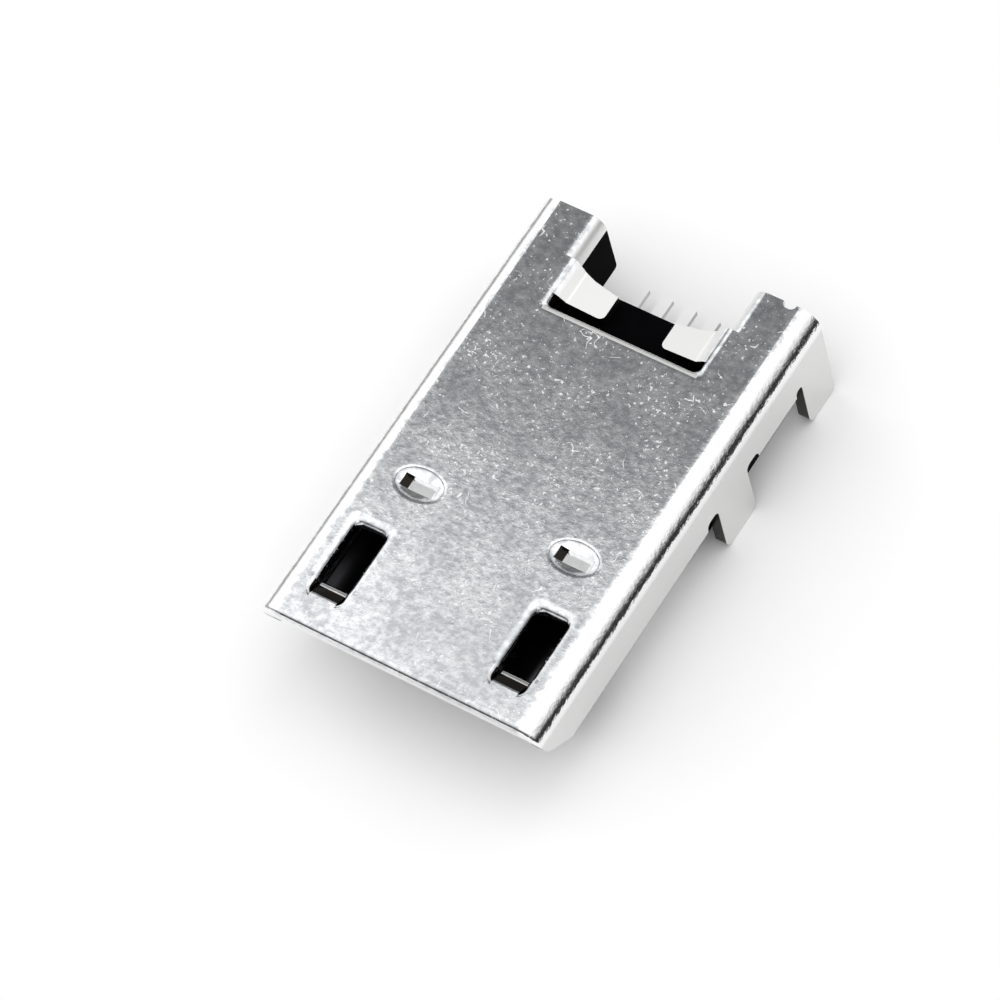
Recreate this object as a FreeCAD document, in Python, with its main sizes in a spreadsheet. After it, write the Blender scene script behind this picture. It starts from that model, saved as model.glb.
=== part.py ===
import FreeCAD, Part
import os
import math
import Sketcher

# Micro-B socket for a circuit board: a folded sheet steel shell, a moulded
# insulator with its tongue, and five stamped contacts.
# x runs across the mouth, y from the mouth to the tails, z up from the board.
# Sketches are drawn with y = 0 at the mouth and z = 0 at the shell's floor.
# The placements then centre the part over its legs' feet.

driving_sizes = [
    # shell, folded from one sheet: a closed tube, and an open channel behind it
    ("width", 7.5), ("tubeLength", 6.94), ("rearLength", 5.26), ("height", 2.45),
    ("sheetThickness", 0.3), ("bendRadius", 0.5), ("lowBendRadius", 0.4),
    ("slantDrop", 1.8), ("slantAngle", 53), ("wallDrop", 1.65),
    # mouth: rolled edge, and the slanting front of the side walls and floor
    ("mouthEdgeRadius", 0.12), ("mouthShoulder", 1.0), ("mouthSetIn", 0.22),
    ("mouthSetBack", 1.15), ("mouthFootDrop", 1.74), ("mouthRadius", 0.6), ("mouthFootRadius", 0.15),
    # seam of the folded floor, held by a dovetail
    ("seamGap", 0.04), ("dovetailNeck", 0.9), ("dovetailHead", 1.5),
    ("dovetailReach", 0.9), ("dovetailPlace", 4.1),
    # legs of the side walls
    ("legDrop", 0.75), ("frontReliefWidth", 0.46), ("frontLegWidth", 1.26),
    ("rearLegWidth", 1.1), ("legCornerRadius", 0.32),
    ("reliefDrop", 1.43), ("reliefWidth", 0.5), ("reliefCorner", 0.16),
    ("rearReliefWidth", 0.25), ("rearReliefCorner", 0.11),
    # latch windows with their pressed lead-in ledges, set in from the sides
    ("windowInset", 1.3), ("windowStart", 0.8), ("windowWidth", 0.84),
    ("windowLength", 2.06), ("windowCorner", 0.18), ("windowRim", 0.12),
    ("ledgeWidth", 0.7), ("ledgeRun", 0.33), ("ledgeFlat", 0.14), ("ledgeDrop", 0.2), ("ledgeNose", 0.1),
    # oval dimples with a bevelled pocket, which press on the plug
    ("dimpleInset", 1.66), ("dimpleCentre", 4.29), ("dimpleWidth", 1.26),
    ("dimpleLength", 0.84), ("dimpleDepth", 0.12), ("bulgeDepth", 0.16),
    ("pocketWidth", 0.94), ("pocketLength", 0.34), ("pocketDepth", 0.24), ("pocketBevel", 0.14),
    # fork at the rear: two arms with rolled lips, set back from the rear end
    ("armWidth", 1.7), ("slotSetBack", 2.55), ("slotCorner", 0.16), ("slotRim", 0.07),
    ("rootWidth", 0.42), ("lipSetBack", 1.2), ("lipDrop", 0.42),
    ("lipOuterBend", 0.36), ("lipInnerBend", 0.06),
    ("nickInset", 0.75), ("nickWidth", 0.34), ("nickDepth", 0.15), ("nickCorner", 0.14),
    # pads that step down from the arms and press on the insulator
    ("padSetBack", 2.2), ("padReach", 1.27), ("padDrop", 0.23), ("padSag", 0.07), ("padLength", 0.7),
    ("padFlare", 0.1), ("padKnee", 0.6), ("rampRun", 0.3), ("padCorner", 0.15),
    ("rampOuterBend", 0.38), ("rampInnerBend", 0.08), ("padOuterBend", 0.42), ("padInnerBend", 0.12),
    # insulator
    ("fitGap", 0.03), ("blockStart", 5.7), ("blockSetBack", 1.38), ("padSeatSetBack", 2.7),
    ("sideBlockDrop", 2.0), ("blockEdge", 0.1),
    ("tongueStart", 1.9), ("tongueWidth", 3.5), ("tongueTop", 0.68),
    ("tongueThickness", 0.62), ("tongueChamfer", 0.14),
    # contacts
    ("contactSpacing", 0.65), ("contactWidth", 0.3), ("contactThickness", 0.15),
    ("contactTop", 1.2), ("contactStart", 2.3), ("contactGap", 0.02),
    ("tailReach", 0.3), ("footSetBack", 0.08), ("tailRadius", 0.26),
]
contact_count = 5
tolerance = 0.0001

doc = FreeCAD.newDocument("micro_usb_socket")
sheet = doc.addObject("Spreadsheet::Sheet", "sizes")
for row, (alias, value) in enumerate(driving_sizes, start=1):
    sheet.set("A%d" % row, alias)
    sheet.set("B%d" % row, str(value))
    sheet.setAlias("B%d" % row, alias)
doc.recompute()


def size(alias):
    return float(sheet.get(alias))


def worth(rule):
    """Value of an expression on the sheet."""
    return float(sheet.evalExpression(rule))


# Heights and places that several sketches share, as expressions on the sheet.
half_width = "sizes.width / 2"
inner_half = "(sizes.width / 2 - sizes.sheetThickness)"
top = "sizes.height"
under_top = "(sizes.height - sizes.sheetThickness)"
wall_edge = "(sizes.height - sizes.wallDrop)"
slant = "(sizes.slantAngle * 1 deg)"
end = "(sizes.tubeLength + sizes.rearLength)"
outside = "(sizes.tubeLength + 2 * sizes.rearLength)"
front_leg_start = "(sizes.tubeLength + sizes.frontReliefWidth)"
front_leg_end = "(%s + sizes.frontLegWidth)" % front_leg_start
rear_leg_start = "(%s - sizes.rearLegWidth)" % end
window_place = "(sizes.width / 2 - sizes.windowInset)"
dimple_place = "(sizes.width / 2 - sizes.dimpleInset)"
nick_place = "(sizes.width / 2 - sizes.nickInset)"
fork_half = "(sizes.width / 2 - sizes.armWidth)"
slot_start = "(%s - sizes.slotSetBack)" % end
pad_start = "(%s - sizes.padSetBack)" % end
lip_start = "(%s - sizes.lipSetBack)" % end
block_end = "(%s - sizes.blockSetBack)" % end


def new_body(label):
    body = doc.addObject("PartDesign::Body", label)
    body.Label = label
    body.setExpression("Placement.Base.y", "-%s / 2" % end)
    body.setExpression("Placement.Base.z", "sizes.legDrop")
    return body


def new_sketch(body, name, plane, loops, offset="0"):
    """Closed outlines on an origin plane, each corner held by two expressions.

    A third expression on a corner is the radius that rounds it.
    """
    support = [f for f in body.Origin.OriginFeatures if f.Role == plane][0]
    sketch = body.newObject("Sketcher::SketchObject", name)
    sketch.AttachmentSupport = [(support, "")]
    sketch.MapMode = "FlatFace"
    sketch.setExpression("AttachmentOffset.Base.z", offset)
    for corners in loops:
        first = sketch.GeometryCount
        count = len(corners)
        guess = []
        for k in range(count):
            turn = 2 * math.pi * (k + 0.5) / count
            guess.append(FreeCAD.Vector(math.cos(turn), math.sin(turn), 0))
        for k in range(count):
            sketch.addGeometry(Part.LineSegment(guess[k], guess[(k + 1) % count]), False)
        for k in range(count):
            following = first + (k + 1) % count
            sketch.addConstraint(Sketcher.Constraint("Coincident", first + k, 2, following, 1))
        for k, corner in enumerate(corners):
            for kind, start, rule in zip(("DistanceX", "DistanceY"), (guess[k].x, guess[k].y), corner):
                index = sketch.addConstraint(Sketcher.Constraint(kind, -1, 1, first + k, 1, start))
                hold(sketch, index, "%s%d" % (kind, first + k), rule)
        doc.recompute()
        for k, corner in enumerate(corners):
            if len(corner) == 3:
                radius = worth(corner[2])
                sketch.fillet(first + k, 1, radius, True, True)
                arcs = [n for n, g in enumerate(sketch.Geometry) if g.TypeId == "Part::GeomArcOfCircle"]
                index = sketch.addConstraint(Sketcher.Constraint("Radius", arcs[-1], radius))
                hold(sketch, index, "Radius%d" % (first + k), corner[2])
    doc.recompute()
    return sketch


def hold(sketch, index, name, rule):
    sketch.renameConstraint(index, name)
    sketch.setExpression("Constraints." + name, rule)


def rectangle(left, right, low, high):
    return [(left, low), (right, low), (right, high), (left, high)]


def mirrored_loop(corners):
    return [("-(%s)" % corner[0],) + corner[1:] for corner in reversed(corners)]


def pad(body, name, sketch, length, backwards=False, symmetric=False):
    feature = body.newObject("PartDesign::Pad", name)
    feature.Profile = sketch
    feature.setExpression("Length", length)
    feature.Reversed = backwards
    if symmetric:
        feature.SideType = "Symmetric"
    doc.recompute()
    return feature


def pocket(body, name, sketch, length=None, backwards=False):
    """A cut of the given depth, or one through everything on both sides."""
    feature = body.newObject("PartDesign::Pocket", name)
    feature.Profile = sketch
    if length is None:
        feature.SideType = "Symmetric"
        feature.Type = "ThroughAll"
    else:
        feature.setExpression("Length", length)
        feature.Reversed = backwards
    doc.recompute()
    return feature


def mirror(body, name, originals):
    feature = body.newObject("PartDesign::Mirrored", name)
    plane = [f for f in body.Origin.OriginFeatures if f.Role == "YZ_Plane"][0]
    feature.Originals = originals
    feature.MirrorPlane = (plane, [""])
    body.Tip = feature
    doc.recompute()
    return feature


def ellipsoid(body, kind, name, centre, radii):
    feature = body.newObject("PartDesign::%sEllipsoid" % kind, name)
    for prop, rule in zip(("Radius1", "Radius2", "Radius3"), radii):
        feature.setExpression(prop, rule)
    for axis, rule in zip("xyz", centre):
        feature.setExpression("Placement.Base.%s" % axis, rule)
    doc.recompute()
    return feature


def edges_where(shape, wanted):
    """Names of the edges whose two ends and middle all pass the test."""
    names = []
    for number, edge in enumerate(shape.Edges, start=1):
        first, last = edge.FirstParameter, edge.LastParameter
        places = [edge.valueAt(first), edge.valueAt((first + last) / 2), edge.valueAt(last)]
        if all(wanted(place) for place in places):
            names.append("Edge%d" % number)
    return names


def fillet(body, name, wanted, radius):
    base = body.Tip
    names = edges_where(base.Shape, wanted)
    if not names:
        raise RuntimeError("no edges for " + name)
    feature = body.newObject("PartDesign::Fillet", name)
    feature.Base = (base, names)
    feature.setExpression("Radius", radius)
    doc.recompute()
    return feature


def chamfer(body, name, wanted, width):
    base = body.Tip
    names = edges_where(base.Shape, wanted)
    if not names:
        raise RuntimeError("no edges for " + name)
    feature = body.newObject("PartDesign::Chamfer", name)
    feature.Base = (base, names)
    feature.setExpression("Size", width)
    doc.recompute()
    return feature


def near(value, target):
    return abs(value - target) < tolerance


def tube_corners(inset, low_radius=None):
    """Corners of the mouth's section, moved inwards by a wall, with its low corners rounded if wanted."""
    side = "(sizes.width / 2 - (%s))" % inset
    shoulder = "(sizes.height - sizes.slantDrop + (%s) * tan(%s / 2))" % (inset, slant)
    floor_half = "(sizes.width / 2 - (sizes.height - sizes.slantDrop) * tan(%s)" % slant
    floor_half += " - (%s) * tan(45 deg - %s / 2))" % (inset, slant)
    high = "(sizes.height - (%s))" % inset
    rounding = () if low_radius is None else (low_radius,)
    right = [(floor_half, inset) + rounding, (side, shoulder) + rounding, (side, high)]
    return right + mirrored_loop(right)


def make_shell():
    body = new_body("shell")
    height, width = size("height"), size("width")
    thickness = size("sheetThickness")
    inner_x = width / 2 - thickness
    under = height - thickness

    # Closed mouth section, then the open channel behind it.
    ring = [tube_corners("0 * sizes.height"), tube_corners("sizes.sheetThickness")]
    tube = new_sketch(body, "tube_section", "XZ_Plane", ring)
    pad(body, "tube", tube, "sizes.tubeLength", backwards=True)
    channel_corners = [
        (half_width, wall_edge), (half_width, top), ("-" + half_width, top), ("-" + half_width, wall_edge),
        ("-" + inner_half, wall_edge), ("-" + inner_half, under_top),
        (inner_half, under_top), (inner_half, wall_edge)]
    channel = new_sketch(body, "channel_section", "XZ_Plane", [channel_corners], "-sizes.tubeLength")
    pad(body, "channel", channel, "sizes.rearLength", backwards=True)

    # Bends of the sheet.
    def outer_top(p):
        return near(abs(p.x), width / 2) and near(p.z, height)

    def inner_top(p):
        return near(abs(p.x), inner_x) and near(p.z, under)

    fillet(body, "outer_bends", outer_top, "sizes.bendRadius")
    fillet(body, "inner_bends", inner_top, "sizes.bendRadius - sizes.sheetThickness")
    slant_angle = math.radians(size("slantAngle"))
    lower_wall = height - size("slantDrop")
    floor_half = width / 2 - lower_wall * math.tan(slant_angle)
    inner_shoulder = lower_wall + thickness * math.tan(slant_angle / 2)
    inner_floor = floor_half - thickness * math.tan(math.pi / 4 - slant_angle / 2)

    def outer_low(p):
        shoulder = near(abs(p.x), width / 2) and near(p.z, lower_wall)
        return shoulder or (near(abs(p.x), floor_half) and near(p.z, 0))

    def inner_low(p):
        shoulder = near(abs(p.x), inner_x) and near(p.z, inner_shoulder)
        return shoulder or (near(abs(p.x), inner_floor) and near(p.z, thickness))

    fillet(body, "outer_floor_bends", outer_low, "sizes.lowBendRadius")
    fillet(body, "inner_floor_bends", inner_low, "sizes.lowBendRadius - sizes.sheetThickness")

    # The front edge is rolled all round before the side walls and floor step back under the top plate.
    fillet(body, "mouth_edge", lambda p: near(p.y, 0) and near(p.z, height), "sizes.mouthEdgeRadius")
    below, before = "-sizes.height", "-sizes.height"
    mouth_corners = [
        (before, below), ("sizes.mouthSetBack", below),
        ("sizes.mouthSetBack", "sizes.height - sizes.mouthFootDrop"),
        ("sizes.mouthSetIn", "sizes.height - sizes.mouthShoulder"),
        ("0 * sizes.mouthSetIn", under_top), (before, under_top)]
    mouth = new_sketch(body, "mouth_outline", "YZ_Plane", [mouth_corners])
    pocket(body, "mouth_cut", mouth)
    fillet(body, "mouth_shoulder", lambda p: near(p.y, size("mouthSetIn"))
           and near(p.z, height - size("mouthShoulder")), "sizes.mouthRadius")
    fillet(body, "mouth_foot", lambda p: near(p.y, size("mouthSetBack"))
           and near(p.z, height - size("mouthFootDrop")), "sizes.mouthFootRadius")

    # Reliefs beside the legs, then the legs in the plane of the walls.
    relief_top = "(sizes.height - sizes.reliefDrop)"
    reliefs = [
        rectangle("sizes.tubeLength", front_leg_start, below, relief_top),
        rectangle(front_leg_end, front_leg_end + " + sizes.reliefWidth", below, relief_top),
        rectangle(rear_leg_start + " - sizes.rearReliefWidth", rear_leg_start, below, relief_top)]
    pocket(body, "leg_reliefs", new_sketch(body, "relief_outlines", "YZ_Plane", reliefs))
    leg_top = "(sizes.height - sizes.reliefDrop + sizes.sheetThickness)"
    legs = [
        rectangle(front_leg_start, front_leg_end, "-sizes.legDrop", leg_top),
        rectangle(rear_leg_start, end, "-sizes.legDrop", leg_top)]
    leg_sketch = new_sketch(body, "leg_outlines", "YZ_Plane", legs, inner_half)
    right_legs = pad(body, "right_legs", leg_sketch, "sizes.sheetThickness")
    mirror(body, "left_legs", [right_legs])
    fillet(body, "leg_corners", lambda p: near(p.z, -size("legDrop")) and abs(p.x) > 0
           and any(near(p.y, y) for y in leg_sides()), "sizes.legCornerRadius")
    relief_z = height - size("reliefDrop")
    front_sides, rear_sides = relief_sides()
    fillet(body, "relief_corners", lambda p: near(p.z, relief_z)
           and any(near(p.y, y) for y in front_sides), "sizes.reliefCorner")
    fillet(body, "rear_relief_corners", lambda p: near(p.z, relief_z)
           and any(near(p.y, y) for y in rear_sides), "sizes.rearReliefCorner")

    make_windows(body)
    make_dimples(body)
    make_fork(body)
    make_seam(body)
    return body


def leg_sides():
    return [worth(rule) for rule in (front_leg_start, front_leg_end, rear_leg_start, end)]


def relief_sides():
    front, back, rear, _ = leg_sides()
    front_sides = [size("tubeLength"), front, back, back + size("reliefWidth")]
    return front_sides, [rear - size("rearReliefWidth"), rear]


def make_windows(body):
    """Two openings for the plug's latches, each with a ledge at its front."""
    height = size("height")
    inner = window_place + " - sizes.windowWidth / 2"
    outer = window_place + " + sizes.windowWidth / 2"
    right = rectangle(inner, outer, "sizes.windowStart", "sizes.windowStart + sizes.windowLength")
    sketch = new_sketch(body, "window_outlines", "XY_Plane", [right, mirrored_loop(right)], top)
    pocket(body, "windows", sketch, "sizes.sheetThickness * 2")
    inside, outside_x = worth(inner), worth(outer)
    front, rear = size("windowStart"), size("windowStart") + size("windowLength")

    def corner(p):
        at_side = near(abs(p.x), inside) or near(abs(p.x), outside_x)
        return at_side and (near(p.y, front) or near(p.y, rear))

    fillet(body, "window_corners", corner, "sizes.windowCorner")

    def rim(p):
        across = inside - tolerance < abs(p.x) < outside_x + tolerance
        return across and front - tolerance < p.y < rear + tolerance and near(p.z, height)

    fillet(body, "window_rims", rim, "sizes.windowRim")
    ledge_front = "sizes.windowStart - sizes.windowRim"
    ledge_top = "(sizes.height - sizes.ledgeDrop)"
    ledge_under = ledge_top + " - sizes.sheetThickness"
    ledge_knee = "sizes.windowStart + sizes.ledgeRun"
    ledge_end = ledge_knee + " + sizes.ledgeFlat"
    ledge_corners = [
        (ledge_front, top), ("sizes.windowStart", top), (ledge_knee, ledge_top),
        (ledge_end, ledge_top, "sizes.ledgeNose"), (ledge_end, ledge_under), (ledge_knee, ledge_under),
        (ledge_front, under_top)]
    ledge = new_sketch(body, "ledge_section", "YZ_Plane", [ledge_corners],
                       window_place + " - sizes.ledgeWidth / 2")
    right_ledge = pad(body, "right_ledge", ledge, "sizes.ledgeWidth")
    mirror(body, "left_ledge", [right_ledge])


def make_dimples(body):
    """Oval dimples with a bevelled pocket, and the bulge that each leaves below."""
    dished = ("sizes.dimpleDepth", "sizes.dimpleWidth / 2", "sizes.dimpleLength / 2")
    bulged = ("sizes.bulgeDepth", dished[1], dished[2])
    for side, sign in (("right", ""), ("left", "-")):
        place = (sign + dimple_place, "sizes.dimpleCentre")
        ellipsoid(body, "Additive", side + "_bulge", place + (under_top,), bulged)
        ellipsoid(body, "Subtractive", side + "_dish", place + (top,), dished)
    inner = dimple_place + " - sizes.pocketWidth / 2"
    outer = dimple_place + " + sizes.pocketWidth / 2"
    right = rectangle(inner, outer, "sizes.dimpleCentre - sizes.pocketLength / 2",
                      "sizes.dimpleCentre + sizes.pocketLength / 2")
    sketch = new_sketch(body, "pocket_outlines", "XY_Plane", [right, mirrored_loop(right)], top)
    pocket(body, "pockets", sketch, "sizes.pocketDepth")
    ends, floor_z = (worth(inner), worth(outer)), size("height") - size("pocketDepth")
    chamfer(body, "pocket_bevels", lambda p: any(near(abs(p.x), x) for x in ends) and near(p.z, floor_z),
            "sizes.pocketBevel")


def make_fork(body):
    """Rear slot and arms, the arms' rolled lips, and the pads that step down."""
    height, fork = size("height"), worth(fork_half)
    slot_front, pad_front = worth(slot_start), worth(pad_start)
    root = "(%s + sizes.rootWidth)" % fork_half
    right = [(fork_half, slot_start), (fork_half, pad_start), (root, pad_start), (root, outside)]
    sketch = new_sketch(body, "fork_outline", "XY_Plane", [right + mirrored_loop(right)], top)
    pocket(body, "fork", sketch, "sizes.sheetThickness * 2")
    fillet(body, "slot_corners", lambda p: near(abs(p.x), fork) and near(p.y, slot_front), "sizes.slotCorner")

    def slot_rim(p):
        along = slot_front - tolerance < p.y < pad_front + tolerance
        return near(p.z, height) and abs(p.x) < fork + tolerance and along

    fillet(body, "slot_rim", slot_rim, "sizes.slotRim")

    lip_back = fork_half + " + sizes.sheetThickness"
    lip_low = "(sizes.height - sizes.lipDrop)"
    lip = [
        (root, under_top), (root, top), (fork_half, top, "sizes.lipOuterBend"), (fork_half, lip_low),
        (lip_back, lip_low), (lip_back, under_top, "sizes.lipInnerBend")]
    lips = new_sketch(body, "lip_sections", "XZ_Plane", [lip, mirrored_loop(lip)], "-" + lip_start)
    pad(body, "lips", lips, "sizes.lipSetBack", backwards=True)

    # The pads sag a little towards their free ends.
    pad_end = "(%s - sizes.padReach)" % fork_half
    pad_top = "(sizes.height - sizes.padDrop)"
    pad_under = pad_top + " - sizes.sheetThickness"
    ramp_foot = "(%s - sizes.rampRun)" % fork_half
    bend_shift = "sizes.sheetThickness * tan(atan(sizes.padDrop / sizes.rampRun) / 2)"
    step = [
        (root, under_top), (root, top), (fork_half, top, "sizes.rampOuterBend"),
        (ramp_foot, pad_top, "sizes.padInnerBend"),
        (pad_end, pad_top + " - sizes.padSag"), (pad_end, pad_under + " - sizes.padSag"),
        (ramp_foot + " - " + bend_shift, pad_under, "sizes.padOuterBend"),
        (fork_half + " - " + bend_shift, under_top, "sizes.rampInnerBend")]
    steps = new_sketch(body, "step_sections", "XZ_Plane", [step, mirrored_loop(step)], "-" + pad_start)
    pad(body, "pads", steps, "sizes.padSetBack - sizes.lipSetBack", backwards=True)

    # The pads narrow towards their ends.
    pad_back = "(%s + sizes.padLength)" % pad_start
    trim = [
        ("0 * sizes.padReach", pad_back), (pad_end, pad_back),
        (fork_half + " - sizes.padKnee", pad_back + " + sizes.padFlare"), (fork_half, lip_start),
        (fork_half, outside), ("0 * sizes.padReach", outside)]
    for side, loop in (("right", trim), ("left", mirrored_loop(trim))):
        trim_sketch = new_sketch(body, "pad_trim_" + side, "XY_Plane", [loop], top)
        pocket(body, "pad_trims_" + side, trim_sketch, "sizes.height / 2")
    free_end = worth(pad_end)
    fillet(body, "pad_corners", lambda p: near(abs(p.x), free_end) and near(p.y, pad_front),
           "sizes.padCorner")

    # Nick left in the right arm by the carrier strip.
    nick = rectangle(nick_place + " - sizes.nickWidth / 2", nick_place + " + sizes.nickWidth / 2",
                     end + " - sizes.nickDepth", outside)
    nick_sketch = new_sketch(body, "nick_outline", "XY_Plane", [nick], top)
    pocket(body, "nick", nick_sketch, "sizes.sheetThickness * 1.2")
    nick_bottom, nick_centre = worth(end) - size("nickDepth"), worth(nick_place)
    nick_half, under = size("nickWidth") / 2, height - size("sheetThickness")
    fillet(body, "nick_corners", lambda p: near(abs(p.x - nick_centre), nick_half)
           and near(p.y, nick_bottom) and p.z > under - tolerance, "sizes.nickCorner")


def make_seam(body):
    """The sheet's two edges meet under the mouth in a dovetail."""
    near_side, far_side = "-sizes.seamGap / 2", "sizes.seamGap / 2"
    centre = "sizes.dovetailPlace"
    tail = [
        (near_side, "-1 * sizes.seamGap"),
        (near_side, centre + " - sizes.dovetailNeck / 2"),
        ("sizes.dovetailReach - sizes.seamGap / 2", centre + " - sizes.dovetailHead / 2"),
        ("sizes.dovetailReach - sizes.seamGap / 2", centre + " + sizes.dovetailHead / 2"),
        (near_side, centre + " + sizes.dovetailNeck / 2"),
        (near_side, outside)]
    socket = [
        (far_side, "-1 * sizes.seamGap"),
        (far_side, centre + " - sizes.dovetailNeck / 2 - sizes.seamGap"),
        ("sizes.dovetailReach + sizes.seamGap / 2", centre + " - sizes.dovetailHead / 2 - sizes.seamGap"),
        ("sizes.dovetailReach + sizes.seamGap / 2", centre + " + sizes.dovetailHead / 2 + sizes.seamGap"),
        (far_side, centre + " + sizes.dovetailNeck / 2 + sizes.seamGap"),
        (far_side, outside)]
    seam = new_sketch(body, "seam_outline", "XY_Plane", [tail + socket[::-1]])
    pocket(body, "seam", seam, "sizes.sheetThickness * 1.5", backwards=True)


def make_insulator():
    """Block behind the mouth, side blocks under the arms, tongue in the mouth."""
    body = new_body("insulator")
    inset = "sizes.sheetThickness + sizes.fitGap"
    low_radius = "sizes.lowBendRadius - sizes.sheetThickness - sizes.fitGap"
    block_half = "(sizes.width / 2 - sizes.sheetThickness - sizes.fitGap)"
    block_top = "(sizes.height - sizes.sheetThickness - sizes.fitGap)"
    seat_top = "(sizes.height - sizes.padDrop - sizes.padSag - sizes.sheetThickness - sizes.fitGap)"
    seat_start = "(%s - sizes.padSeatSetBack)" % end

    plug_corners = tube_corners(inset, low_radius)
    plug = new_sketch(body, "plug_section", "XZ_Plane", [plug_corners], "-sizes.blockStart")
    pad(body, "plug_block", plug, "sizes.tubeLength + sizes.fitGap - sizes.blockStart", backwards=True)
    shoulder = "(sizes.tubeLength + sizes.fitGap)"
    floor_level = "0 * sizes.height"
    block = [
        (shoulder, floor_level), (block_end, floor_level), (block_end, seat_top),
        (seat_start, seat_top), (seat_start, block_top), (shoulder, block_top)]
    block_sketch = new_sketch(body, "block_section", "YZ_Plane", [block])
    pad(body, "block", block_sketch, "2 * " + block_half, symmetric=True)

    side_low = "(sizes.height - sizes.sideBlockDrop)"
    under_lip = "(sizes.height - sizes.lipDrop - sizes.fitGap)"
    lip_back = "(%s + sizes.sheetThickness + sizes.fitGap)" % fork_half
    arm = [
        (fork_half, side_low), (block_half, side_low), (block_half, block_top),
        (lip_back, block_top), (lip_back, under_lip), (fork_half, under_lip)]
    arms = new_sketch(body, "side_block_sections", "XZ_Plane", [arm, mirrored_loop(arm)], "-" + block_end)
    pad(body, "side_blocks", arms, "sizes.blockSetBack", backwards=True)

    tongue_high = "(sizes.height - sizes.tongueTop)"
    tongue_low = "(sizes.height - sizes.tongueTop - sizes.tongueThickness)"
    tongue = rectangle("-sizes.tongueWidth / 2", "sizes.tongueWidth / 2", tongue_low, tongue_high)
    tongue_sketch = new_sketch(body, "tongue_section", "XZ_Plane", [tongue], "-sizes.tongueStart")
    pad(body, "tongue", tongue_sketch, "sizes.blockStart - sizes.tongueStart", backwards=True)
    chamfer(body, "tongue_lead_in", lambda p: near(p.y, size("tongueStart")), "sizes.tongueChamfer")

    rear, low = worth(end), size("height") - size("sideBlockDrop")
    side = size("width") / 2 - size("sheetThickness") - size("fitGap")
    roof = size("height") - size("sheetThickness") - size("fitGap")
    fillet(body, "side_block_edges", lambda p: near(p.y, rear) and near(p.z, low), "sizes.blockEdge")
    fillet(body, "roof_edges", lambda p: near(abs(p.x), side) and near(p.z, roof),
           "sizes.bendRadius - sizes.sheetThickness - sizes.fitGap")

    # Passages of the contacts, open to the mouth under the tongue.
    channel_low = "(sizes.height - sizes.contactTop - sizes.contactThickness - sizes.contactGap)"
    channel_high = "(sizes.height - sizes.contactTop + sizes.contactGap)"
    loops = []
    for number in range(contact_count):
        centre = "%s * sizes.contactSpacing" % (number - (contact_count - 1) / 2)
        reach = "(sizes.contactWidth / 2 + sizes.contactGap)"
        loops.append(rectangle("%s - %s" % (centre, reach), "%s + %s" % (centre, reach),
                               channel_low, channel_high))
    passages = new_sketch(body, "passage_sections", "XZ_Plane", loops,
                          "-(sizes.contactStart - sizes.contactGap)")
    pocket(body, "passages", passages, end)
    return body


def make_contact(number):
    """A strip along the tongue that bends down to the board behind the block."""
    body = new_body("contact_%d" % (number + 1))
    body.setExpression("Placement.Base.x", "%s * sizes.contactSpacing" % (number - (contact_count - 1) / 2))
    high = "(sizes.height - sizes.contactTop)"
    low = high + " - sizes.contactThickness"
    outer_tail = "(%s + sizes.tailReach)" % block_end
    inner_tail = outer_tail + " - sizes.contactThickness"
    foot_end = end + " - sizes.footSetBack"
    strip = [
        ("sizes.contactStart", high), ("sizes.contactStart", low), (inner_tail, low),
        (inner_tail, "0 * sizes.height"), (foot_end, "0 * sizes.height"),
        (foot_end, "sizes.contactThickness"), (outer_tail, "sizes.contactThickness"),
        (outer_tail, high)]
    sketch = new_sketch(body, "strip_outline", "YZ_Plane", [strip])
    pad(body, "strip", sketch, "sizes.contactWidth", symmetric=True)
    thickness = size("contactThickness")
    height = size("height") - size("contactTop")
    tail = worth(outer_tail)
    outer = [(tail, height), (tail - thickness, 0)]
    inner = [(tail - thickness, height - thickness), (tail, thickness)]

    def at(corners):
        return lambda p: any(near(p.y, y) and near(p.z, z) for y, z in corners)

    fillet(body, "outer_tail_bends", at(outer), "sizes.tailRadius")
    fillet(body, "inner_tail_bends", at(inner), "sizes.tailRadius - sizes.contactThickness")
    return body


bodies = [make_shell(), make_insulator()]
bodies += [make_contact(number) for number in range(contact_count)]
doc.recompute()

faults = [o.Name for o in doc.Objects if "Invalid" in o.State or "Error" in o.State]
if faults:
    raise RuntimeError("failed objects: " + ", ".join(faults))
for body in bodies:
    if body.Shape.isNull() or not body.Shape.isValid() or len(body.Shape.Solids) != 1:
        raise RuntimeError("bad shape: " + body.Label)

os.makedirs("parts", exist_ok=True)
for body in bodies:
    body.Shape.exportStep("parts/%s.step" % body.Label)
    box = body.Shape.BoundBox
    print("%-12s volume %.3f  x %.2f..%.2f  y %.2f..%.2f  z %.2f..%.2f" % (
        body.Label, body.Shape.Volume, box.XMin, box.XMax, box.YMin, box.YMax, box.ZMin, box.ZMax))
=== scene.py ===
import bpy
from mathutils import Matrix, Vector

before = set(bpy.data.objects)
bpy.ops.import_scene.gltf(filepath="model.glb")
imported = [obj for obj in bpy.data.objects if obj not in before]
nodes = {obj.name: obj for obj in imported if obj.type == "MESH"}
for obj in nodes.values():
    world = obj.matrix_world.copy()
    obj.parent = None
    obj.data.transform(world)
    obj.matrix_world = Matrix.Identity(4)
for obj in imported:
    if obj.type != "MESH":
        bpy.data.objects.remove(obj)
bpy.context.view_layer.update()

millimetre = 0.001


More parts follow.
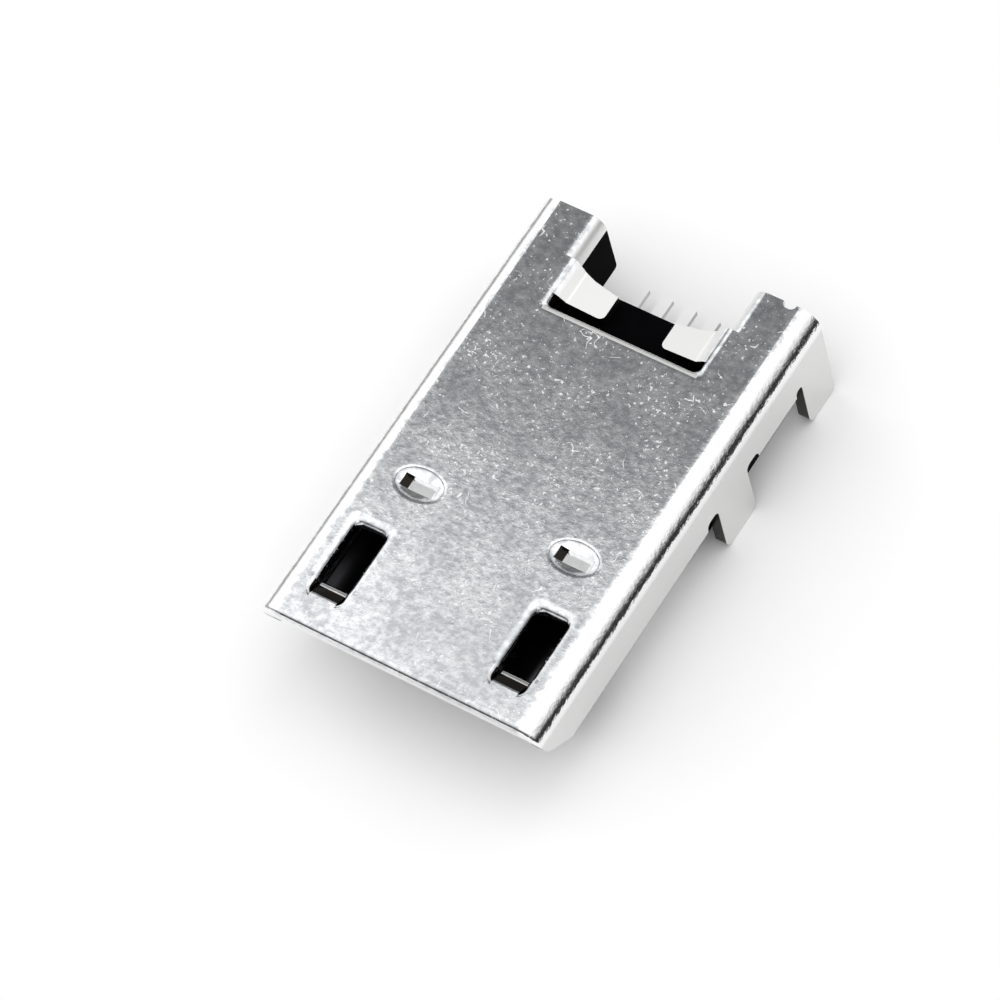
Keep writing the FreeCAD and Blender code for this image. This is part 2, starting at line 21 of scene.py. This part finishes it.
# Shader maths: one value in a material's tree, with Python's operators as Math nodes.
class Wire:
    def __init__(self, finish, socket):
        self.finish = finish
        self.socket = socket

    def maths(self, operation, *others):
        return self.finish.node("Math", {"operation": operation}, dict(enumerate((self, *others))))

    def flipped(self, operation, other):
        return self.finish.node("Math", {"operation": operation}, {0: other, 1: self})

    def __add__(self, other):
        return self.maths("ADD", other)

    def __radd__(self, other):
        return self.flipped("ADD", other)

    def __sub__(self, other):
        return self.maths("SUBTRACT", other)

    def __rsub__(self, other):
        return self.flipped("SUBTRACT", other)

    def __mul__(self, other):
        return self.maths("MULTIPLY", other)

    def __rmul__(self, other):
        return self.flipped("MULTIPLY", other)

    def __truediv__(self, other):
        return self.maths("DIVIDE", other)

    def __pow__(self, other):
        return self.maths("POWER", other)

    def __gt__(self, other):
        return self.maths("GREATER_THAN", other)

    def __lt__(self, other):
        return self.maths("LESS_THAN", other)

    def size(self):
        return self.maths("ABSOLUTE")

    def either(self, other):
        return self.maths("MAXIMUM", other)

    def between(self, low, high):
        return (self > low) * (self < high)

    def blend(self, other, share):
        return self * (1 - share) + other * share

    def centred(self):
        # noise runs from 0 to 1, and this moves its middle to 0
        return self - 0.5

    def past(self, start, reach=None):
        # how far the value lies beyond start, up to reach
        beyond = (self - start).maths("MAXIMUM", 0.0)
        return beyond if reach is None else beyond.maths("MINIMUM", reach)

    def fade(self, low, high):
        # smoothly from 0 at low to 1 at high
        values = {0: self, 1: low, 2: high, 3: 0.0, 4: 1.0}
        return self.finish.node("MapRange", {"interpolation_type": "SMOOTHSTEP"}, values)


# The nodes of a material or of the world, which all come from one method.
class Finish:
    def __init__(self, owner):
        self.owner = owner
        owner.use_nodes = True
        self.tree = owner.node_tree
        self.tree.nodes.clear()

    def node(self, kind, settings=None, values=None, out=0):
        made = self.tree.nodes.new("ShaderNode" + kind)
        for key, value in (settings or {}).items():
            if key == "stops":
                self.setStops(made.color_ramp, value)
            else:
                setattr(made, key, value)
        for key, value in (values or {}).items():
            if isinstance(value, Wire):
                self.tree.links.new(value.socket, made.inputs[key])
            else:
                made.inputs[key].default_value = value
        return Wire(self, made.outputs[out]) if len(made.outputs) else None

    def setStops(self, ramp, stops):
        # each stop is a place on the ramp and its level of grey
        while len(ramp.elements) > 1:
            ramp.elements.remove(ramp.elements[-1])
        for k, (place, level) in enumerate(stops):
            stop = ramp.elements[0] if k == 0 else ramp.elements.new(place)
            stop.position = place
            stop.color = (level, level, level, 1)

    def ramp(self, value, stops):
        return self.node("ValToRGB", {"stops": stops}, {"Fac": value})

    def axis(self, vector, letter):
        return self.node("SeparateXYZ", values={0: vector}, out=letter)

    def towards(self, way, direction):
        # cosine of the angle between two ways
        settings = {"operation": "DOT_PRODUCT"}
        return self.node("VectorMath", settings, {0: way, 1: direction}, out="Value")

    def millimetres(self, stretch=(1, 1, 1)):
        place = self.node("TexCoord", out="Object")
        scale = [times / millimetre for times in stretch]
        return self.node("Mapping", values={"Vector": place, "Scale": scale})

    def noise(self, place, scale, detail, rough=0.5):
        values = {"Vector": place, "Scale": scale, "Detail": detail, "Roughness": rough}
        return self.node("TexNoise", values=values)

    def mix(self, factor, low, high):
        low, high = (tone if isinstance(tone, Wire) else (*tone, 1) for tone in (low, high))
        return self.node("Mix", {"data_type": "RGBA"}, {0: factor, 6: low, 7: high}, out=2)

    def bump(self, height, strength, depth):
        # depth in millimetres is what a height of 1 stands for
        values = {"Height": height, "Strength": strength, "Distance": depth * millimetre}
        return self.node("Bump", values=values)

    def done(self, values):
        surface = self.node("BsdfPrincipled", values=values)
        self.node("OutputMaterial", values={"Surface": surface})
        return self.owner


# The shell is tinned sheet steel, mottled and flecked on its top, smooth on its bends and walls.
# Lengths are in millimetres: across from the middle, along from the centre, up from the board.
shellLook = {
    "darkTin": (0.54, 0.56, 0.585),
    "paleTin": (0.9, 0.91, 0.92),
    "bendTin": (0.9, 0.9, 0.9),
    # painted shade: the walls' tin is darker than the bends' tin
    "wallShadeTin": (0.73, 0.73, 0.725),
    "fleckTin": (0.97, 0.97, 0.97),
    "paintedShadeTin": (0.4, 0.41, 0.42),  # painted shade: the tin made darker at the corner by the mouth's right
    "shadeInsideTin": (0.06, 0.06, 0.065),  # painted shade: nearly black inside the mouth and where the windows look in
    "padTin": (0.95, 0.95, 0.94),
    "bareEdgeAndShade": (0.035, 0.031, 0.027),  # bare cut steel, made darker still as painted shade; the same dark is painted as shade on the ledge slopes and the pockets' left ends
    "plateRoughness": 0.17,
    "fleckRoughness": 0.4,  # added: a fleck scatters the whole sky
    "bendRoughness": 0.12,
    "wallRoughness": 0.3,
    "padRoughness": 0.5,
    # noise: cells per millimetre, detail, roughness of the detail
    "patch": (0.9, 2.0, 0.5),
    "mottle": (5.0, 4.0, 0.6),
    "fleck": (11.0, 2.0, 0.6),
    "grain": (30.0, 2.0, 0.6),
    "cloudBlend": 0.7,  # share of mottle in the clouds, the rest is patch
    "cloudRange": (0.36, 0.64),  # noise over which dark tin turns pale
    "fleckBlend": 0.2,  # share of patch in the flecks
    "fleckRange": (0.59, 0.68),
    "fleckLevel": 0.8,
    # painted shade: where the darker corner reaches across and along, and how dark it gets
    "paintedShadeAcross": (-2.0, 1.5),
    "paintedShadeAlong": (-4.5, -1.5),
    "paintedShadeLevel": 0.42,
    # scratches: edges of bent cells, in some patches only
    "scratchBend": 2.0,
    "scratchShift": 0.6,
    "scratchCells": 0.9,
    "scratchWidth": 0.014,
    "scratchPatch": (2.3, 1.0),
    "scratchRange": (0.63, 0.68),
    # where one surface fades into the next
    "bendFoot": (2.55, 2.7),
    "textureFoot": (2.9, 3.16),
    "textureSide": (3.2, 3.36),
    "textureRagged": 0.5,
    "rippleTop": (3.05, 3.18),
    "padTop": (3.12, 3.19),
    # zones: half width, range along, range of heights, and 4 or 7 lies past the part
    "windows": (3.44, (-4.8, -2.85), (0.0, 3.08)),
    "insideTube": (3.44, (-7.0, 3.3), (1.02, 2.88)),
    # painted shade: the window ledges' slopes are painted dark
    "ledgeSlopes": (3.0, (-5.4, -4.93), (3.005, 3.17)),
    "pads": (2.3, (2.9, 7.0), (2.0, 4.0)),
    "padSides": (2.3, (2.9, 4.85), (2.0, 4.0)),
    "slotFront": (2.1, (3.42, 3.56), (0.0, 4.0)),
    "wallEnds": (4.0, (-6.05, 7.0), (0.0, 2.7)),
    # left end of a dimple's pocket: range from the dimple's centre, half length, range of heights
    "pocketEnd": ((-0.6, -0.3), 0.22, (2.9, 3.1)),
    "endFacing": 0.6,  # a cut end faces along at least this squarely
    "sideUpward": 0.35,  # a cut side faces up at most this squarely
    # heights of the relief
    "grainHeight": 0.0008,
    "fleckHeight": 0.0016,
    "mottleHeight": 0.004,
    "rippleMottle": 0.018,
    "rippleFleck": 0.006,
    # rolled edges: where each begins or its centre and half size, its reach, its curvature
    "crown": 0.008,
    "sideRoll": (3.12, 0.14, 0.9),
    "sideEnd": 0.25,
    "frontRoll": (5.93, 0.17, 2.2),
    "windowRoll": ((2.45, -3.99), (0.42, 0.75), 0.24, 1.6),
    "slotRoll": ((0.0, 4.83), (2.05, 1.28), 0.2, 2.2),
    "dimpleRoll": ((2.09, -1.81), (0.63, 0.42), 0.14, 2.5),
}


def scratches(f, place):
    # short curved lines, where the edges of cells are bent by noise
    look = shellLook
    values = {"Vector": place, "Scale": look["scratchBend"], "Detail": 1.0}
    bend = f.node("TexNoise", values=values, out="Color")
    values = {0: bend, 1: [look["scratchShift"]] * 3, 2: place}
    bent = f.node("VectorMath", {"operation": "MULTIPLY_ADD"}, values)
    values = {"Vector": bent, "Scale": look["scratchCells"]}
    edge = f.node("TexVoronoi", {"feature": "DISTANCE_TO_EDGE"}, values)
    patches = f.noise(place, *look["scratchPatch"]).fade(*look["scratchRange"])
    return (1 - edge.fade(0.0, look["scratchWidth"])) * patches


def apart(aside, ahead):
    return (aside * aside + ahead * ahead) ** 0.5


def rolled(across, along):
    # depth of the plate's own crown and of its rounded edges, below a flat plate
    look = shellLook
    side = across.size()
    start, reach, curve = look["sideRoll"]
    near = side.past(start, reach)
    beyond = side.past(start + reach, look["sideEnd"])
    depth = near * near * (curve / 2) + beyond * (reach * curve)
    depth = depth - beyond * beyond * (reach * curve / 2 / look["sideEnd"])
    depth = depth + along * along * (look["crown"] / 2)
    start, reach, curve = look["frontRoll"]
    near = (0 - along).past(start, reach)
    depth = depth + near * near * (curve / 2)
    for opening in ("windowRoll", "slotRoll"):
        (x, y), (wide, deep), reach, curve = look[opening]
        gap = apart((side - x).size().past(wide), (along - y).size().past(deep))
        near = reach - gap.past(0.0, reach)
        depth = depth + near * near * (curve / 2)
    (x, y), (wide, deep), reach, curve = look["dimpleRoll"]
    near = reach - apart((side - x) / wide, (along - y) / deep).past(1.0, reach)
    return depth + near * near * (curve * wide * deep / 2)


def inZone(spot, name):
    # 1 inside a zone of the shell, on both sides of its middle, and 0 outside
    across, along, height = spot
    half, ends, heights = shellLook[name]
    return (across.size() < half) * along.between(*ends) * height.between(*heights)


def pocketEnds(spot):
    # the left end of each dimple's pocket, painted dark as painted shade
    across, along, height = spot
    x, y = shellLook["dimpleRoll"][0]
    ends, half, heights = shellLook["pocketEnd"]
    rightward = (across.size() - x) * across.maths("SIGN")
    return rightward.between(*ends) * ((along - y).size() < half) * height.between(*heights)


def cutEdges(f, spot, padsLow):
    # bare steel where the sheet was cut: the ends of walls and legs, and the sides of the pads,
    # painted darker than bare steel as painted shade
    normal = f.node("TexCoord", out="Normal")
    ends = (f.axis(normal, "Y").size() > shellLook["endFacing"]) * inZone(spot, "wallEnds")
    sides = (f.axis(normal, "Z").size() < shellLook["sideUpward"]) * inZone(spot, "padSides")
    return ends.either(sides * padsLow)


def tinPlate():
    look = shellLook
    f = Finish(bpy.data.materials.new("tinPlate"))
    place = f.millimetres()
    spot = [f.axis(place, letter) for letter in "XYZ"]
    across, along, height = spot
    patch = f.noise(place, *look["patch"])
    mottle = f.noise(place, *look["mottle"])
    fleck = f.noise(place, *look["fleck"])
    grain = f.noise(place, *look["grain"])

    # how far each point belongs to the textured plate, to the bends and to the matt pads
    ragged = across.size() + mottle.centred() * look["textureRagged"]
    plate = height.fade(*look["textureFoot"]) * (1 - ragged.fade(*look["textureSide"]))
    bent = height.fade(*look["bendFoot"])
    padsLow = 1 - height.fade(*look["padTop"])
    matt = (inZone(spot, "pads") * padsLow).either(inZone(spot, "slotFront"))

    marks = scratches(f, place) * plate
    flecks = fleck.blend(patch, look["fleckBlend"]).fade(*look["fleckRange"]) * look["fleckLevel"]
    clouds = patch.blend(mottle, look["cloudBlend"]).fade(*look["cloudRange"])
    # painted shade: the tone darkens towards the mouth's right corner
    offTone = across.fade(*look["paintedShadeAcross"]) * (1 - along.fade(*look["paintedShadeAlong"])) * look["paintedShadeLevel"]
    tone = f.mix(clouds, look["darkTin"], look["paleTin"])
    tone = f.mix(offTone, tone, look["paintedShadeTin"])
    tone = f.mix(flecks.either(marks), tone, look["fleckTin"])
    # painted shade: the walls get a darker tin than the bends
    tone = f.mix(plate, f.mix(bent, look["wallShadeTin"], look["bendTin"]), tone)
    # painted shade: the tin inside the tube and seen through the windows made nearly black
    tone = f.mix(inZone(spot, "windows").either(inZone(spot, "insideTube")), tone, look["shadeInsideTin"])
    tone = f.mix(matt, tone, look["padTin"])
    # painted shade, partly real: cut edges are bare steel darkened further, and the ledge slopes and
    # pocket ends are tin painted dark
    bareAndShade = inZone(spot, "ledgeSlopes").either(pocketEnds(spot)).either(cutEdges(f, spot, padsLow))
    tone = f.mix(bareAndShade, tone, look["bareEdgeAndShade"])

    flecked = look["plateRoughness"] + (flecks + marks) * look["fleckRoughness"]
    smooth = look["wallRoughness"] + bent * (look["bendRoughness"] - look["wallRoughness"])
    rough = smooth + (flecked - smooth) * plate
    rough = rough + (look["padRoughness"] - rough) * matt

    texture = grain.centred() * look["grainHeight"] + fleck.centred() * look["fleckHeight"]
    texture = texture + mottle.centred() * look["mottleHeight"]
    ripple = mottle.centred() * look["rippleMottle"] + fleck.centred() * look["rippleFleck"]
    ripple = ripple * bent * (across.size() > look["textureSide"][0])
    ripple = ripple * (1 - height.fade(*look["rippleTop"]))
    relief = f.bump(texture * plate + ripple - rolled(across, along), 1.0, 1.0)
    return f.done({"Base Color": tone, "Metallic": 1.0, "Roughness": rough, "Normal": relief})


# The insulator is black moulded nylon.
insulatorLook = {
    "black": (0.001, 0.001, 0.0015),
    "offTone": (0.003, 0.003, 0.0035),
    "cloud": (2.2, 3.0),  # cells per millimetre, detail
    "pits": (18.0, 2.0),
    "roughness": 0.5,
    "roughnessSpread": 0.2,
    "refraction": 1.05,  # low, so that the nylon mirrors next to nothing
    "pitStrength": 0.3,
    "pitDepth": 0.004,
}


def blackNylon():
    look = insulatorLook
    f = Finish(bpy.data.materials.new("blackNylon"))
    cloud = f.noise(f.millimetres(), *look["cloud"])
    pits = f.noise(f.millimetres(), *look["pits"])
    return f.done({
        "Base Color": f.mix(cloud, look["black"], look["offTone"]),
        "Roughness": look["roughness"] + cloud.centred() * look["roughnessSpread"],
        "IOR": look["refraction"],
        "Normal": f.bump(pits, look["pitStrength"], look["pitDepth"]),
    })


# The contacts have a gold flash in the mouth and matt tin on the tails behind the block, painted
# plain white as a painted highlight, as bright as the lit card.
contactLook = {
    "count": 5,
    "gold": (0.83, 0.62, 0.30),
    "dull": (0.62, 0.47, 0.26),
    # painted highlight: the tails plain white
    "paintedBrightTail": (1.0, 1.0, 1.0),
    "tailStart": 4.2,  # millimetres behind the part's centre
    "cloud": (3.0, 3.0),  # cells per millimetre, detail
    "drawn": (1.0, 2.0),  # the strip's drawn lines, stretched along it
    "drawnStretch": (14, 0.6, 14),
    "drawnStrength": 0.5,
    "drawnDepth": 0.004,
    "roughness": 0.28,
    "tailRoughness": 0.6,  # added on the tails
}


def goldFlash():
    look = contactLook
    f = Finish(bpy.data.materials.new("goldFlash"))
    place = f.millimetres()
    cloud = f.noise(place, *look["cloud"])
    drawn = f.noise(f.millimetres(look["drawnStretch"]), *look["drawn"])
    tail = f.axis(place, "Y") > look["tailStart"]
    return f.done({
        # painted highlight: the tails plain white and not metal
        "Base Color": f.mix(tail, f.mix(cloud, look["dull"], look["gold"]), look["paintedBrightTail"]),
        "Metallic": 1 - tail,
        "Roughness": look["roughness"] + tail * look["tailRoughness"],
        "Normal": f.bump(drawn, look["drawnStrength"], look["drawnDepth"]),
    })


def dress(name, material):
    for slot in nodes[name].material_slots:
        slot.material = material


dress("shell", tinPlate())
print("shell tinned")
dress("insulator", blackNylon())
gold = goldFlash()
for number in range(1, contactLook["count"] + 1):
    dress("contact_%d" % number, gold)
print("insulator and contacts dressed")


# A white card under a bright dome, with a dark horizon and one dim patch high at the rear left.
studio = {
    "cardAcross": (-0.013, 0.0088),  # short on the right, where the bend mirrors the dark beyond it
    "cardAlong": (-0.015, 0.0135),
    "cardTone": 0.45,  # as it lights the part, while the camera and the metal see it white
    "dome": 1.85,
    "leftWay": (-1.0, 0.0, 0.0),
    "leftEdge": (0.45, 0.8),
    "dimWay": (-0.36, 0.62, 0.7),
    "dimEdge": (0.9135, 0.9659),  # cosines of the patch's soft rim
    "dimLevel": 0.2,
    # brightness by the sine of the elevation
    "right": [(0.0, 0.02), (0.09, 0.07), (0.21, 0.2), (0.47, 0.48), (0.68, 0.62), (0.84, 0.68),
              (0.88, 0.6), (0.94, 0.85), (1.0, 1.0)],
    "left": [(0.0, 0.22), (0.06, 0.3), (0.2, 0.62), (0.6, 0.76), (0.84, 0.68),
             (0.88, 0.6), (0.94, 0.85), (1.0, 1.0)],
}


def makeFloor():
    mesh = bpy.data.meshes.new("card")
    (left, right), (near, far) = studio["cardAcross"], studio["cardAlong"]
    corners = [(left, near, 0), (right, near, 0), (right, far, 0), (left, far, 0)]
    mesh.from_pydata(corners, [], [(0, 1, 2, 3)])
    card = bpy.data.objects.new("card", mesh)
    bpy.context.scene.collection.objects.link(card)
    f = Finish(bpy.data.materials.new("whiteCard"))
    seen = f.node("LightPath", out="Is Camera Ray").either(f.node("LightPath", out="Is Glossy Ray"))
    tone = f.mix(seen, [studio["cardTone"]] * 3, (1, 1, 1))
    mesh.materials.append(f.done({"Base Color": tone, "Roughness": 1.0, "Specular IOR Level": 0.0}))


def makeWorld():
    world = bpy.data.worlds.new("lightTent")
    bpy.context.scene.world = world
    f = Finish(world)
    way = f.node("TexCoord", out="Generated")
    height = f.axis(way, "Z")
    dim = f.towards(way, studio["dimWay"]).fade(*studio["dimEdge"]) * (1 - studio["dimLevel"])
    leftward = f.towards(way, studio["leftWay"]).fade(*studio["leftEdge"])
    right = f.ramp(height, studio["right"])
    left = f.ramp(height, studio["left"])
    light = (right + (left - right) * leftward) * (1 - dim) * studio["dome"]
    tint = f.mix(f.node("LightPath", out="Is Camera Ray"), light, (1, 1, 1))
    sky = f.node("Background", values={"Color": tint, "Strength": 1.0})
    f.node("OutputWorld", values={"Surface": sky})


# The photograph's view, as the camera's lens, place and axes.
photoView = {
    "lens": 210.269,
    "sensor": 36,
    "clip": (0.005, 5),
    "place": (0.0512907, -0.0470436, 0.1151401),
    "right": (0.8316938, 0.5297495, -0.1662856),
    "up": (-0.3933236, 0.7735064, 0.4969753),
    "back": (0.3918954, -0.3479272, 0.8516834),
}


def makeCamera():
    data = bpy.data.cameras.new("camera")
    data.sensor_width = photoView["sensor"]
    data.lens = photoView["lens"]
    data.clip_start, data.clip_end = photoView["clip"]
    camera = bpy.data.objects.new("camera", data)
    turn = Matrix([Vector(photoView[axis]) for axis in ("right", "up", "back")]).transposed()
    camera.matrix_world = Matrix.Translation(photoView["place"]) @ turn.to_4x4()
    bpy.context.scene.collection.objects.link(camera)
    bpy.context.scene.camera = camera


makeFloor()
makeWorld()
makeCamera()
bpy.context.scene.view_settings.view_transform = "Standard"
print("studio ready")
